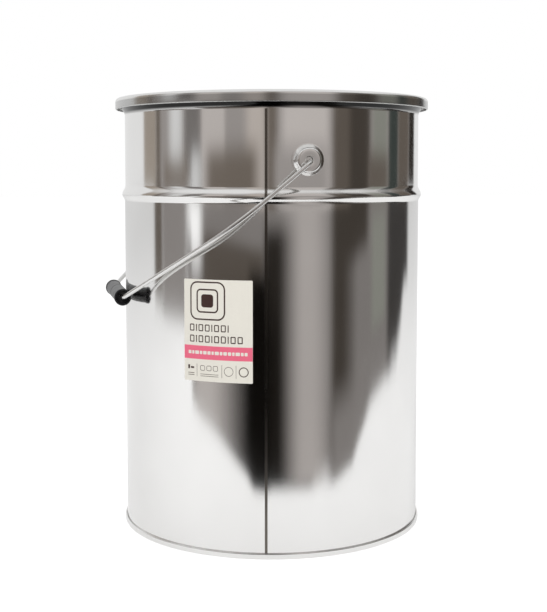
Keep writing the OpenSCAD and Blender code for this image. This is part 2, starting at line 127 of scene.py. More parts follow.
class PailColours(bpy.types.PropertyGroup):
    tin: colour("Tin", "Colour of the tinplate", (0.86, 0.855, 0.845))
    ring: colour("Ring", "Colour of the closing ring", (0.84, 0.84, 0.83))
    zinc: colour("Zinc", "Colour of the lock's zinc plating", (0.62, 0.63, 0.64))
    wire: colour("Wire", "Colour of the bail's wire", (0.82, 0.82, 0.81))
    weld: colour("Weld", "Colour of the side weld", (0.16, 0.145, 0.13))
    rubber: colour("Rubber", "Colour of the sealing ring", (0.10, 0.095, 0.09))
    grip: colour("Grip", "Colour of the grip", (0.018, 0.018, 0.020))
    paper: colour("Paper", "Colour of the label", (0.77, 0.74, 0.665))
    band: colour("Band", "Colour of the label's band", (0.81, 0.14, 0.23))
    print: colour("Print", "Colour of the dark print", (0.045, 0.018, 0.014))


def deselect_all():
    if bpy.context.object and bpy.context.object.mode != "OBJECT":
        bpy.ops.object.mode_set(mode="OBJECT")
    bpy.ops.object.select_all(action="DESELECT")


def arc_points(centre, radius, start, end, steps):
    """Points of an arc, with its angles in degrees"""
    points = []
    for i in range(steps + 1):
        a = math.radians(start + (end - start) * i / steps)
        points.append((centre[0] + radius * math.cos(a), centre[1] + radius * math.sin(a)))
    return points


def ease(s):
    return (1 - math.cos(math.pi * s)) / 2


def ridge(x, middle, below, above, height):
    d = x - middle
    side = above if d > 0 else below
    return height * math.cos(math.pi / 2 * d / side) ** 2 if abs(d) < side else 0.0


def pressed_ring(radius, height, z, half=0.005, steps=16):
    """Points of a ring pressed into a flat panel"""
    points = []
    for i in range(steps + 1):
        r = radius - half + 2 * half * i / steps
        points.append((r, z + ridge(r, radius, half, half, height)))
    return points


def pick(obj):
    """Selects one object alone and makes it the active one"""
    deselect_all()
    obj.select_set(True)
    bpy.context.view_layer.objects.active = obj


def begin_edit(obj):
    pick(obj)
    bpy.ops.object.mode_set(mode="EDIT")
    bpy.ops.mesh.select_all(action="SELECT")


def chain(name, points):
    """A line of points, drawn out from one corner of a small plane"""
    deselect_all()
    bpy.ops.mesh.primitive_plane_add(size=MM, location=points[0])
    obj = bpy.context.object
    obj.name = name
    bpy.ops.object.transform_apply(location=True, rotation=False, scale=False)
    bpy.ops.object.mode_set(mode="EDIT")
    bpy.ops.mesh.select_all(action="SELECT")
    bpy.ops.mesh.merge(type="CENTER")
    last = Vector(points[0])
    for point in points[1:]:
        step = Vector(point) - last
        bpy.ops.mesh.extrude_region_move(TRANSFORM_OT_translate={"value": step})
        last = Vector(point)
    return obj


def close_up(obj):
    """Merges doubles, turns the faces outwards and leaves edit mode"""
    bpy.ops.mesh.select_all(action="SELECT")
    bpy.ops.mesh.remove_doubles(threshold=MERGE_GAP)
    bpy.ops.mesh.normals_make_consistent(inside=False)
    bpy.ops.object.mode_set(mode="OBJECT")
    return obj


def turned(name, profile, steps=ROUND_STEPS, start=0.0, sweep=FULL_TURN):
    """A profile of radius and height, turned round the pail's axis from an angle off the front ear"""
    points = [(r * math.sin(start), -r * math.cos(start), z) for r, z in profile]
    obj = chain(name, points)
    bpy.ops.mesh.select_all(action="SELECT")
    bpy.ops.mesh.spin(steps=steps, angle=-sweep, center=(0, 0, 0), axis=(0, 0, 1))
    return close_up(obj)


def turned_across(name, profile, centre, steps=SMALL_STEPS):
    """A profile of radius and place along Y, turned round a line along Y through the centre"""
    points = [(centre[0], centre[1] + y, centre[2] + r) for r, y in profile]
    obj = chain(name, points)
    bpy.ops.mesh.select_all(action="SELECT")
    bpy.ops.mesh.spin(steps=steps, angle=FULL_TURN, center=centre, axis=(0, 1, 0))
    return close_up(obj)


def thicken(obj, thickness, offset=0.0):
    solid = obj.modifiers.new("sheet", "SOLIDIFY")
    solid.thickness = thickness
    solid.offset = offset
    solid.use_even_offset = True
    apply_modifier(obj, solid)


def apply_modifier(obj, modifier):
    pick(obj)
    bpy.ops.object.modifier_apply(modifier=modifier.name)


def smooth(obj, degrees=35):
    pick(obj)
    bpy.ops.object.shade_smooth_by_angle(angle=math.radians(degrees))


def join(name, pieces):
    deselect_all()
    for piece in pieces:
        piece.select_set(True)
    bpy.context.view_layer.objects.active = pieces[0]
    if len(pieces) > 1:
        bpy.ops.object.join()
    pieces[0].name = name
    return pieces[0]


def finish(obj, body, slot, material, *nodes):
    """Gives a finished piece its material and its body, and hides the CAD nodes that it stands for"""
    obj.data.materials.clear()
    obj.data.materials.append(material)
    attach(obj, body)
    if nodes:
        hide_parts(*nodes)
    return obj


def wall_radii(s):
    """Radii of the wall and the neck along the middle of the sheet"""
    wall = s.body_radius - s.sheet / 2
    return wall, wall - s.neck_in


LAP_GAP = 0.00015
WELD_GAP = 0.0001
WELD_PROUD = 0.0002
WELD_STEPS = 4
# Steps of the profiles' bends
BEAD_STEPS = 56
FLARE_STEPS = 16
CURL_STEPS = 24
FOLD_STEPS = 10
HOOK_STEPS = 12
SHOULDER_STEPS = 14
FOOT_STEPS = 8
EDGE_STEPS = 4
# The rolled rim's curl ends at this angle, short of closing
CURL_END = -70
# Rows of points on a straight stretch of wall: close to its ends, and then this far apart
NEAR_END = (0.0005, 0.002)
ROW_PITCH = 0.024
# A flat panel has one row of points at this radius
PANEL_MIDDLE = 0.05


def seam_layer(s):
    return s.sheet + LAP_GAP


def straight(radius, low, high):
    """Points up a straight stretch, with close ones at both ends that keep its shading flat"""
    rows = [low] + [low + near for near in NEAR_END]
    count = int((high - low) / ROW_PITCH)
    rows += [low + (high - low) * i / count for i in range(1, count)]
    rows += [high - near for near in reversed(NEAR_END)]
    return [(radius, z) for z in rows]


def wall_profile(s):
    """The wall from the double seam up to the flare"""
    wall, neck = wall_radii(s)
    low = s.bead_height - s.bead_below
    high = s.bead_height + s.bead_above
    points = straight(wall, s.seam_height + WELD_GAP, low)
    for i in range(BEAD_STEPS + 1):
        z = low + (high - low) * i / BEAD_STEPS
        r = wall - s.neck_in * ease(max(0.0, (z - s.bead_height) / s.bead_above))
        r += ridge(z, s.bead_height, s.bead_below, s.bead_above, s.bead_out)
        points.append((r, z))
    flare_foot = RIM_TOP - s.curl_radius - s.flare_height
    return points + straight(neck, high, flare_foot)[1:] + [(neck, flare_foot)]


def body_profile(s):
    wall, neck = wall_radii(s)
    layer = seam_layer(s)
    fold = 1.5 * s.sheet + LAP_GAP + layer
    hook_top = s.seam_height - layer - s.sheet / 2
    curl_z = RIM_TOP - s.curl_radius
    curl = s.curl_radius - s.sheet / 2
    points = [(wall + 2 * layer, hook_top)]
    points += arc_points((wall + layer, fold), layer, 0, -180, FOLD_STEPS)
    points += wall_profile(s)
    for i in range(1, FLARE_STEPS):
        points.append((neck + s.flare * ease(i / FLARE_STEPS),
                       curl_z - s.flare_height * (1 - i / FLARE_STEPS)))
    points += arc_points((neck + s.flare + curl, curl_z), curl, 180, CURL_END, CURL_STEPS)
    return points


def base_profile(s):
    wall, _ = wall_radii(s)
    layer = seam_layer(s)
    inner = wall - layer
    panel = s.base_rise + s.sheet / 2
    foot = s.sheet / 2
    bend = 0.0004
    panel_bend = 0.0025
    ring_radius, ring_rise = 0.108, 0.0015
    outer = wall + 3 * layer
    hook_top = s.seam_height - layer - s.sheet / 2
    points = [(0.0, panel), (PANEL_MIDDLE, panel)]
    points += pressed_ring(ring_radius, ring_rise, panel)
    points += arc_points((inner - panel_bend, panel - panel_bend), panel_bend, 90, 0, FOLD_STEPS)
    points += arc_points((inner + bend, foot + bend), bend, 180, 270, EDGE_STEPS)
    points += arc_points((outer - bend, foot + bend), bend, 270, 360, EDGE_STEPS)
    points += arc_points((wall + 2 * layer, hook_top), layer, 0, 180, HOOK_STEPS)
    points += [(wall + layer, 1.5 * s.sheet + LAP_GAP + layer)]
    return points


def ring_middle(s):
    """Radius of the closing ring's wall, along the middle of its sheet"""
    return RING_OUT - s.ring_sheet / 2


def lid_profile(s):
    _, neck = wall_radii(s)
    ring_fit = 0.00015
    top = RING_TOP - s.ring_sheet - ring_fit - s.sheet / 2
    shoulder = ring_middle(s) - s.ring_round
    edge = s.ring_round - s.ring_sheet / 2 - ring_fit - s.sheet / 2
    clearance, groove_depth, skirt_end = 0.0008, 0.002, 0.0004
    ring_radius, ring_rise = 0.088, 0.002
    wall = neck - s.sheet - clearance
    panel = top - s.lid_depth
    groove = panel - groove_depth
    bend, foot_bend, slope, flat = 0.003, 0.0015, 0.005, 0.008
    points = [(0.0, panel), (PANEL_MIDDLE, panel)]
    points += pressed_ring(ring_radius, ring_rise, panel)
    for i in range(FOLD_STEPS + 1):
        down = i / FOLD_STEPS
        points.append((wall - flat - slope * (1 - down), panel - groove_depth * ease(down)))
    points += arc_points((wall - foot_bend, groove + foot_bend), foot_bend, 270, 360, FOOT_STEPS)
    points += arc_points((wall + bend, top - bend), bend, 180, 90, FOLD_STEPS)
    points += arc_points((shoulder, top - edge), edge, 90, 0, FOOT_STEPS)
    points += [(shoulder + edge, RIM_TOP + skirt_end)]
    return points


def ring_profile(s):
    middle = ring_middle(s)
    top = RING_TOP - s.ring_sheet / 2
    shoulder = middle - s.ring_round
    top_lip, foot_lip, edge = 0.002, 0.00065, 0.0006
    edge_steps = 6
    foot = RING_LOW + s.ring_sheet / 2
    points = [(shoulder - top_lip, top)]
    points += arc_points((shoulder, top - s.ring_round), s.ring_round, 90, 0, SHOULDER_STEPS)
    points += arc_points((middle - edge, foot + edge), edge, 0, -90, edge_steps)
    points += [(middle - s.ring_sheet / 2 - foot_lip, foot)]
    return points


def new_group(name, inputs, outputs):
    """A shader node group with float inputs and outputs of the given kinds"""
    group = bpy.data.node_groups.new(name, "ShaderNodeTree")
    for label, kind, default in inputs:
        socket = group.interface.new_socket(name=label, in_out="INPUT", socket_type=kind)
        if default is not None:
            socket.default_value = default
    for label, kind in outputs:
        group.interface.new_socket(name=label, in_out="OUTPUT", socket_type=kind)
    return group, group.nodes.new("NodeGroupInput"), group.nodes.new("NodeGroupOutput")


def maths(tree, operation, a, b, clamp=False):
    node = tree.nodes.new("ShaderNodeMath")
    node.operation = operation
    node.use_clamp = clamp
    for socket, value in zip(node.inputs, (a, b)):
        if isinstance(value, bpy.types.NodeSocket):
            tree.links.new(value, socket)
        elif value is not None:
            socket.default_value = value
    return node.outputs[0]


def noise(tree, vector, scale, detail=2.0, stretch=None):
    """Noise from -0.5 to 0.5 or so, on a vector that may be stretched first"""
    if stretch:
        mapping = tree.nodes.new("ShaderNodeMapping")
        mapping.inputs["Scale"].default_value = stretch
        tree.links.new(vector, mapping.inputs["Vector"])
        vector = mapping.outputs["Vector"]
    node = tree.nodes.new("ShaderNodeTexNoise")
    node.inputs["Scale"].default_value = scale
    node.inputs["Detail"].default_value = detail
    tree.links.new(vector, node.inputs["Vector"])
    return maths(tree, "SUBTRACT", node.outputs["Fac"], 0.5)


def handled_metal_group():
    """Smudges, fine scratches and the slow waves of a rolled sheet"""
    group, start, end = new_group(
        "Handled metal",
        [("Vector", "NodeSocketVector", None), ("Smudges", "NodeSocketFloat", 0.06),
         ("Scratches", "NodeSocketFloat", 0.03), ("Waves", "NodeSocketFloat", 1.0)],
        [("Roughness", "NodeSocketFloat"), ("Height", "NodeSocketFloat"), ("Tone", "NodeSocketFloat")])
    vector = start.outputs["Vector"]
    smudge = noise(group, vector, scale=16.0, detail=3.0)
    scratch = noise(group, vector, scale=900.0, detail=1.0, stretch=(1.0, 1.0, 0.02))
    scuff = noise(group, vector, scale=700.0, detail=1.0, stretch=(0.04, 0.04, 1.0))
    wave = noise(group, vector, scale=9.0, detail=1.0, stretch=(1.0, 1.0, 0.45))
    tone_depth = 0.10
    scratched = maths(group, "MULTIPLY", maths(group, "MULTIPLY", scratch, scuff), start.outputs["Scratches"])
    rough = maths(group, "ADD", maths(group, "MULTIPLY", smudge, start.outputs["Smudges"]), scratched)
    group.links.new(rough, end.inputs["Roughness"])
    height = maths(group, "ADD", maths(group, "MULTIPLY", wave, start.outputs["Waves"]),
                   maths(group, "MULTIPLY", scratch, start.outputs["Scratches"]))
    group.links.new(height, end.inputs["Height"])
    tone = maths(group, "ADD", maths(group, "MULTIPLY", smudge, tone_depth), 1.0)
    group.links.new(tone, end.inputs["Tone"])
    return group


def paper_group():
    """Fibres of the paper and the grain of ink on it"""
    group, start, end = new_group(
        "Paper fibres",
        [("Vector", "NodeSocketVector", None), ("Grain", "NodeSocketFloat", 0.05)],
        [("Tone", "NodeSocketFloat"), ("Height", "NodeSocketFloat")])
    vector = start.outputs["Vector"]
    fibre = noise(group, vector, scale=900.0, detail=4.0, stretch=(1.0, 1.0, 0.5))
    cloud = noise(group, vector, scale=60.0, detail=3.0)
    mixed = maths(group, "ADD", fibre, cloud)
    tone = maths(group, "ADD", maths(group, "MULTIPLY", mixed, start.outputs["Grain"]), 1.0)
    group.links.new(tone, end.inputs["Tone"])
    group.links.new(fibre, end.inputs["Height"])
    return group


def new_material(name):
    material = bpy.data.materials.new(name)
    material.use_nodes = True
    tree = material.node_tree
    return material, tree, tree.nodes["Principled BSDF"]


def object_place(tree):
    return tree.nodes.new("ShaderNodeTexCoord").outputs["Object"]


def placed_group(tree, group, values):
    """A group node on object coordinates, with its own values"""
    node = tree.nodes.new("ShaderNodeGroup")
    node.node_tree = group
    tree.links.new(object_place(tree), node.inputs["Vector"])
    for name, value in values.items():
        node.inputs[name].default_value = value
    return node


def toned(tree, colour_from, tone):
    """A colour, or the colour of a socket, made lighter and darker by a tone near one"""
    node = tree.nodes.new("ShaderNodeVectorMath")
    node.operation = "SCALE"
    if isinstance(colour_from, bpy.types.NodeSocket):
        tree.links.new(colour_from, node.inputs[0])
    else:
        node.inputs[0].default_value = colour_from
    tree.links.new(tone, node.inputs["Scale"])
    return node.outputs["Vector"]


def bumped(tree, shader, height, distance, strength=1.0):
    bump = tree.nodes.new("ShaderNodeBump")
    bump.inputs["Distance"].default_value = distance
    bump.inputs["Strength"].default_value = strength
    tree.links.new(height, bump.inputs["Height"])
    tree.links.new(bump.outputs["Normal"], shader.inputs["Normal"])


def between(tree, value, start, end):
    """Rises smoothly from 0 to 1 while the value goes from the start to the end"""
    ramp = tree.nodes.new("ShaderNodeMapRange")
    ramp.interpolation_type = "SMOOTHSTEP"
    for socket, given in (("From Min", start), ("From Max", end), ("Value", value)):
        if isinstance(given, bpy.types.NodeSocket):
            tree.links.new(given, ramp.inputs[socket])
        else:
            ramp.inputs[socket].default_value = given
    return ramp.outputs["Result"]


def dark_band_group():
    """How much of its colour a metal keeps in a darker band between two heights"""
    group, start, end = new_group(
        "Dark band",
        [("Vector", "NodeSocketVector", None), ("Low start", "NodeSocketFloat", 0.0),
         ("Low end", "NodeSocketFloat", 0.0), ("High start", "NodeSocketFloat", 0.0),
         ("High end", "NodeSocketFloat", 0.0), ("Least", "NodeSocketFloat", 0.5)],
        [("Share", "NodeSocketFloat")])
    split = group.nodes.new("ShaderNodeSeparateXYZ")
    group.links.new(start.outputs["Vector"], split.inputs["Vector"])
    height = split.outputs["Z"]
    low = between(group, height, start.outputs["Low start"], start.outputs["Low end"])
    high = between(group, height, start.outputs["High start"], start.outputs["High end"])
    undarkened = maths(group, "MAXIMUM", maths(group, "SUBTRACT", 1.0, low), high)
    group.links.new(maths(group, "MAXIMUM", undarkened, start.outputs["Least"]), end.inputs["Share"])
    return group


def dark_band(material, group, low, high, least):
    """Darkens a metal's colour between two heights, each one with a start and an end"""
    tree = material.node_tree
    shader = tree.nodes["Principled BSDF"]
    undarkened = shader.inputs["Base Color"].links[0].from_socket
    band = placed_group(tree, group, {"Low start": low[0], "Low end": low[1], "High start": high[0],
                                      "High end": high[1], "Least": least})
    tree.links.new(toned(tree, undarkened, band.outputs["Share"]), shader.inputs["Base Color"])


# Painted shade: the wall's colour is darkened in the narrow gap below the closing ring and up behind its
# lower edge, where shade falls
RIM_PAINTED_SHADE = ((RING_LOW - 0.0060, RING_LOW - 0.0020), (RING_LOW + 0.0010, RING_LOW + 0.0025))
RIM_PAINTED_SHADE_SHARE = 0.03
# The closing ring's upright side is darker grey metal, and its shoulder keeps the lighter colour as a painted
# highlight along its lit top edge
RING_SIDE = ((RING_LOW - 0.0020, RING_LOW - 0.0010), (RING_TOP - 0.0055, RING_TOP - 0.0030))
RING_SIDE_SHARE = 0.62
# Heights of the paper's fibres and of the grain in moulded pieces
FIBRE_HEIGHT = 0.00002
GRAIN_HEIGHT = 0.00003


def metal(name, group, colour_value, roughness, smudges, scratches, waves, distance):
    material, tree, shader = new_material(name)
    marks = placed_group(tree, group, {"Smudges": smudges, "Scratches": scratches, "Waves": waves})
    shader.inputs["Metallic"].default_value = 1.0
    tree.links.new(toned(tree, colour_value, marks.outputs["Tone"]), shader.inputs["Base Color"])
    rough = maths(tree, "ADD", marks.outputs["Roughness"], roughness, True)
    tree.links.new(rough, shader.inputs["Roughness"])
    bumped(tree, shader, marks.outputs["Height"], distance)
    return material


def plain_print(name, group, colour_value, roughness, grain):
    material, tree, shader = new_material(name)
    fibres = placed_group(tree, group, {"Grain": grain})
    tree.links.new(toned(tree, colour_value, fibres.outputs["Tone"]), shader.inputs["Base Color"])
    shader.inputs["Roughness"].default_value = roughness
    bumped(tree, shader, fibres.outputs["Height"], FIBRE_HEIGHT)
    return material


def moulded(name, colour_value, roughness):
    """Moulded plastic or rubber with a fine grain and a little dust"""
    material, tree, shader = new_material(name)
    place = object_place(tree)
    grain = noise(tree, place, scale=1400.0, detail=2.0)
    dust = noise(tree, place, scale=120.0, detail=3.0)
    dust_tone, dust_rough = 0.5, 0.2
    tone = maths(tree, "ADD", maths(tree, "MULTIPLY", dust, dust_tone), 1.0)
    tree.links.new(toned(tree, colour_value, tone), shader.inputs["Base Color"])
    rough = maths(tree, "ADD", maths(tree, "MULTIPLY", dust, dust_rough), roughness, True)
    tree.links.new(rough, shader.inputs["Roughness"])
    bumped(tree, shader, grain, GRAIN_HEIGHT)
    return material


FINISHES = {}
# Each metal's name, roughness, smudges, scratches, waves and the height of its marks
METALS = {
    "tin": ("Tinplate", 0.11, 0.05, 0.05, 1.0, 0.00012),
    "wall": ("Tinplate wall", 0.11, 0.05, 0.05, 1.0, 0.00012),
    "ring": ("Ring steel", 0.20, 0.08, 0.05, 0.5, 0.00010),
    "zinc": ("Zinc plate", 0.34, 0.12, 0.10, 0.2, 0.00010),
    "wire": ("Drawn wire", 0.30, 0.10, 0.10, 0.2, 0.00010),
    "weld": ("Side weld", 0.32, 0.25, 0.30, 0.4, 0.00020),
}
# Each moulded finish's name and roughness
MOULDED = {"rubber": ("Sealing rubber", 0.75), "grip": ("Grip plastic", 0.36)}
# Each print's name, roughness and grain
PRINTS = {"paper": ("Label paper", 0.62, 0.05), "band": ("Band print", 0.50, 0.06),
          "print": ("Dark print", 0.45, 0.30)}


def make_finishes(c):
    marks = handled_metal_group()
    fibres = paper_group()
    bands = dark_band_group()
    for key, (name, *look) in METALS.items():
        FINISHES[key] = metal(name, marks, c.tin if key == "wall" else getattr(c, key), *look)
    # Paints shade into the wall's colour in the gap below the closing ring
    dark_band(FINISHES["wall"], bands, *RIM_PAINTED_SHADE, RIM_PAINTED_SHADE_SHARE)
    # Darker ring metal on the side, with a painted highlight kept on the shoulder
    dark_band(FINISHES["ring"], bands, *RING_SIDE, RING_SIDE_SHARE)
    for key, (name, roughness) in MOULDED.items():
        FINISHES[key] = moulded(name, getattr(c, key), roughness)
    for key, (name, *look) in PRINTS.items():
        FINISHES[key] = plain_print(name, fibres, getattr(c, key), *look)


def sizes():
    return bpy.context.scene.pail_sizes


def fittings():
    return bpy.context.scene.pail_fittings


class PAIL_OT_body(bpy.types.Operator):
    """Rolls the pail's wall, its side weld and its base"""
    bl_idname = "pail.body"
    bl_label = "Body and base"

    def execute(self, context):
        s = sizes()
        body = turned("pail_wall", body_profile(s))
        thicken(body, s.sheet)
        smooth(body)
        finish(body, "pail", "tinplate", FINISHES["wall"], "body_shell")
        half = s.weld_width / 2 / s.body_radius
        strip = [(r + WELD_PROUD, z) for r, z in wall_profile(s)]
        weld = turned("side_weld", strip, WELD_STEPS, s.weld_angle - half, 2 * half)
        thicken(weld, s.sheet)
        smooth(weld)
        finish(weld, "pail", "tinplate", FINISHES["weld"])
        base = turned("pail_base", base_profile(s))
        thicken(base, s.sheet)
        smooth(base)
        finish(base, "pail", "tinplate", FINISHES["tin"], "base_end")
        return {"FINISHED"}


class PAIL_OT_lid(bpy.types.Operator):
    """Presses the lid and rolls the closing ring, and finishes the sealing ring and the lock"""
    bl_idname = "pail.lid"
    bl_label = "Lid and closing ring"

    def execute(self, context):
        s = sizes()
        lid = turned("pressed_lid", lid_profile(s))
        thicken(lid, s.sheet)
        smooth(lid)
        finish(lid, "closure", "tinplate", FINISHES["tin"], "lid")
        half = s.split_width / 2 / RING_OUT
        profile = ring_profile(s)
        ring = turned("closing_ring", profile, ROUND_STEPS, s.split_angle + half, FULL_TURN - 2 * half)
        thicken(ring, s.ring_sheet)
        smooth(ring)
        finish(ring, "closure", "ring_steel", FINISHES["ring"], "ring_band")
        for node in ("lever_bracket", "catch_bracket", "latch_lever", "latch_link", "lever_rivets",
                     "link_pin", "catch_pin"):
            cover(node, "zinc")
        cover("lid_gasket", "rubber")
        return {"FINISHED"}


def cover(node, finish_name):
    """Puts a finish on a CAD node"""
    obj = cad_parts[node]
    if not obj.material_slots:
        obj.data.materials.append(FINISHES[finish_name])
    for slot in obj.material_slots:
        slot.material = FINISHES[finish_name]


# Edges turned by more than this, in degrees, stay sharp on the fittings
FITTING_SHADE = 40
# How finely the wire is rounded
WIRE_ROUND = 7
# The bail's flattened head: how far it lies in front of the neck, its radius, thickness and rounding
HEAD_GAP = 0.0019
HEAD_RADIUS = 0.0044
HEAD_THICK = 0.0016
HEAD_ROUND = 0.0004


class PAIL_OT_ears(bpy.types.Operator):
    """Presses the two ears that the bail turns in"""
    bl_idname = "pail.ears"
    bl_label = "Ears"

    def execute(self, context):
        for name, node, side in (("pressed_ear_front", "ear_front", -1), ("pressed_ear_rear", "ear_rear", 1)):
            ear = pressed_ear(name, side)
            finish(ear, "pail", "tinplate", FINISHES["tin"], node)
        return {"FINISHED"}


def pressed_ear(name, side):
    """One ear: its flange follows the wall, and its cup ends in a flat face with a hole"""
    s, f = sizes(), fittings()
    neck = s.body_radius - s.neck_in
    sheet = f.ear_sheet
    foot_bend, crown, lip = 0.0009, 0.0026, 0.0006
    foot_end, crown_start, foot_steps = 190, 15, 6
    low = WELD_GAP + sheet / 2
    top = f.ear_rise - sheet / 2
    foot = f.cup_radius + foot_bend + sheet / 2
    profile = [(f.ear_radius, low), (foot, low)]
    profile += arc_points((foot, low + foot_bend), foot_bend, 270, foot_end, foot_steps)
    profile += arc_points((f.cup_face, top - crown), crown, crown_start, 90, FOLD_STEPS)
    profile += [(f.ear_hole + lip, top)]
    profile += arc_points((f.ear_hole + lip, top - lip), lip, 90, 180, EDGE_STEPS)[1:]
    ear = turned_across(name, [(r, side * d) for r, d in profile], (0.0, side * neck, EAR_MIDDLE))
    for vertex in ear.data.vertices:
        out = side * vertex.co.y - neck
        follow = 1 - min(max(out / f.ear_rise, 0.0), 1.0)
        vertex.co.y -= side * follow * (neck - math.sqrt(neck ** 2 - vertex.co.x ** 2))
    thicken(ear, sheet)
    smooth(ear, FITTING_SHADE)
    return ear


def bail_layout():
    """Places in the bail's own plane: across, and out from the ears"""
    s, f = sizes(), fittings()
    ring_gap, hole_gap, wall_gap = 0.0025, 0.0003, 0.00035
    across = RING_OUT + f.wire_radius + ring_gap
    reach = RING_OUT + f.bail_over
    pivot = EAR_MIDDLE - (f.ear_hole - f.wire_radius - hole_gap)
    rest = math.acos((s.body_radius + f.grip_radius + wall_gap) / reach)
    return across, reach, pivot, rest


def bail_place(point):
    """A place in the bail's plane, laid down against the left side of the wall"""
    _, _, pivot, rest = bail_layout()
    across, out = point
    return Vector((-out * math.cos(rest), across, pivot - out * math.sin(rest)))


def bail_path():
    s, f = sizes(), fittings()
    across, reach, pivot, _ = bail_layout()
    ear_bend, grip_bend, shoulder_drop = 0.006, 0.008, 0.016
    ear_steps, shoulder_steps, grip_steps = 16, 28, 14
    shoulder = Vector((across - f.shoulder_radius, RING_TOP - pivot - shoulder_drop))
    corner = Vector((f.grip_length / 2 - MM, reach - grip_bend))
    leg = corner - shoulder
    lean = math.degrees(math.atan2(leg.y, leg.x) - math.acos((f.shoulder_radius - grip_bend) / leg.length))
    head = s.body_radius - s.neck_in + HEAD_GAP + HEAD_THICK / 2
    half = [(head, 0.0)]
    half += arc_points((across - ear_bend, ear_bend), ear_bend, -90, 0, ear_steps)
    half += arc_points(shoulder, f.shoulder_radius, 0, lean, shoulder_steps)
    half += arc_points(corner, grip_bend, lean, 90, grip_steps)
    return [bail_place(p) for p in half] + [bail_place((-a, o)) for a, o in reversed(half)]


class PAIL_OT_bail(bpy.types.Operator):
    """Bends the wire bail and flattens its two ends"""
    bl_idname = "pail.bail"
    bl_label = "Bail"

    def execute(self, context):
        s, f = sizes(), fittings()
        wire = chain("wire_bail", bail_path())
        bpy.ops.object.mode_set(mode="OBJECT")
        bpy.ops.object.convert(target="CURVE")
        wire = context.object
        wire.data.bevel_depth = f.wire_radius
        wire.data.bevel_resolution = WIRE_ROUND
        wire.data.use_fill_caps = True
        bpy.ops.object.convert(target="MESH")
        wire = context.object
        begin_edit(wire)
        close_up(wire)
        heads = []
        head_at = s.body_radius - s.neck_in + HEAD_GAP
        pivot = bail_place((0.0, 0.0)).z
        flat = HEAD_RADIUS - HEAD_ROUND
        outline = [(0.0, 0.0), (flat, 0.0), (HEAD_RADIUS, HEAD_ROUND), (HEAD_RADIUS, HEAD_THICK - HEAD_ROUND),
                   (flat, HEAD_THICK), (0.0, HEAD_THICK)]
        for side in (-1, 1):
            profile = [(r, side * y) for r, y in outline]
            heads.append(turned_across("head", profile, (0.0, side * head_at, pivot), SMALL_STEPS // 3))
        wire = join("wire_bail", [wire] + heads)
        smooth(wire, FITTING_SHADE)
        finish(wire, "bail", "wire", FINISHES["wire"], "bail_wire")
        return {"FINISHED"}


class PAIL_OT_grip(bpy.types.Operator):
    """Moulds the grip that turns on the bail"""
    bl_idname = "pail.grip"
    bl_label = "Grip"

    def execute(self, context):
        f = fittings()
        _, reach, _, _ = bail_layout()
        centre = bail_place((0.0, reach))
        half = f.grip_length / 2
        bore_gap, soft, inner_soft, soft_steps = 0.0003, 0.0004, 0.0002, 5
        cup, wall, flange, groove, groove_depth = 0.005, 0.0014, 0.0025, 0.0008, 0.0007
        bore = f.wire_radius + bore_gap
        inner = f.grip_radius - wall
        side = [(bore, 0.0), (bore, half - cup), (inner - soft, half - cup), (inner, half - cup + soft),
                (inner, half - inner_soft), (inner + inner_soft, half)]
        side += arc_points((f.grip_radius - soft, half - soft), soft, 90, 0, soft_steps)
        side += [(f.grip_radius, half - flange), (f.barrel_radius, half - flange - soft),
                 (f.barrel_radius, groove + soft), (f.barrel_radius - groove_depth, groove),
                 (f.barrel_radius - groove_depth, 0.0)]
        profile = side + [(r, -y) for r, y in reversed(side[:-1])]
        grip = turned_across("moulded_grip", profile, centre)
        smooth(grip, FITTING_SHADE)
        finish(grip, "handle", "grip_plastic", FINISHES["grip"], "grip")
        return {"FINISHED"}


CORNER_STEPS = 6
DISC_STEPS = 40
# Gaps below the paper and below the ink, and how far apart the label's bends lie
PAPER_GAP = 0.00003
INK_GAP = 0.00001
BEND_PITCH = 0.0025


def flat_bar(x, z, width, height, rounding=0.0, frame_width=0.0):
    """A bar drawn flat, from its lower left corner, with round corners or as a frame"""
    deselect_all()
    bpy.ops.mesh.primitive_plane_add(size=1.0, rotation=(math.pi / 2, 0, 0))
    bar = bpy.context.object
    bar.scale = (width, height, 1.0)
    bar.location = (x + width / 2, 0.0, z + height / 2)
    bpy.ops.object.transform_apply(location=True, rotation=True, scale=True)
    begin_edit(bar)
    if rounding:
        bpy.ops.mesh.bevel(offset=rounding, segments=CORNER_STEPS, affect="VERTICES")
    if frame_width:
        hollow_out(frame_width)
    bpy.ops.object.mode_set(mode="OBJECT")
    return bar


def flat_disc(x, z, radius, ring_width=0.0):
    deselect_all()
    bpy.ops.mesh.primitive_circle_add(vertices=DISC_STEPS, radius=radius, fill_type="NGON",
                                      rotation=(math.pi / 2, 0, 0), location=(x, 0.0, z))
    disc = bpy.context.object
    bpy.ops.object.transform_apply(location=True, rotation=True, scale=True)
    begin_edit(disc)
    if ring_width:
        hollow_out(ring_width)
    bpy.ops.object.mode_set(mode="OBJECT")
    return disc


def hollow_out(width):
    """Insets the one face of what is being edited and takes its middle away"""
    bpy.ops.mesh.select_mode(type="FACE")
    bpy.ops.mesh.select_all(action="SELECT")
    bpy.ops.mesh.inset(thickness=width)
    bpy.ops.mesh.delete(type="FACE")
    bpy.ops.mesh.select_mode(type="VERT")


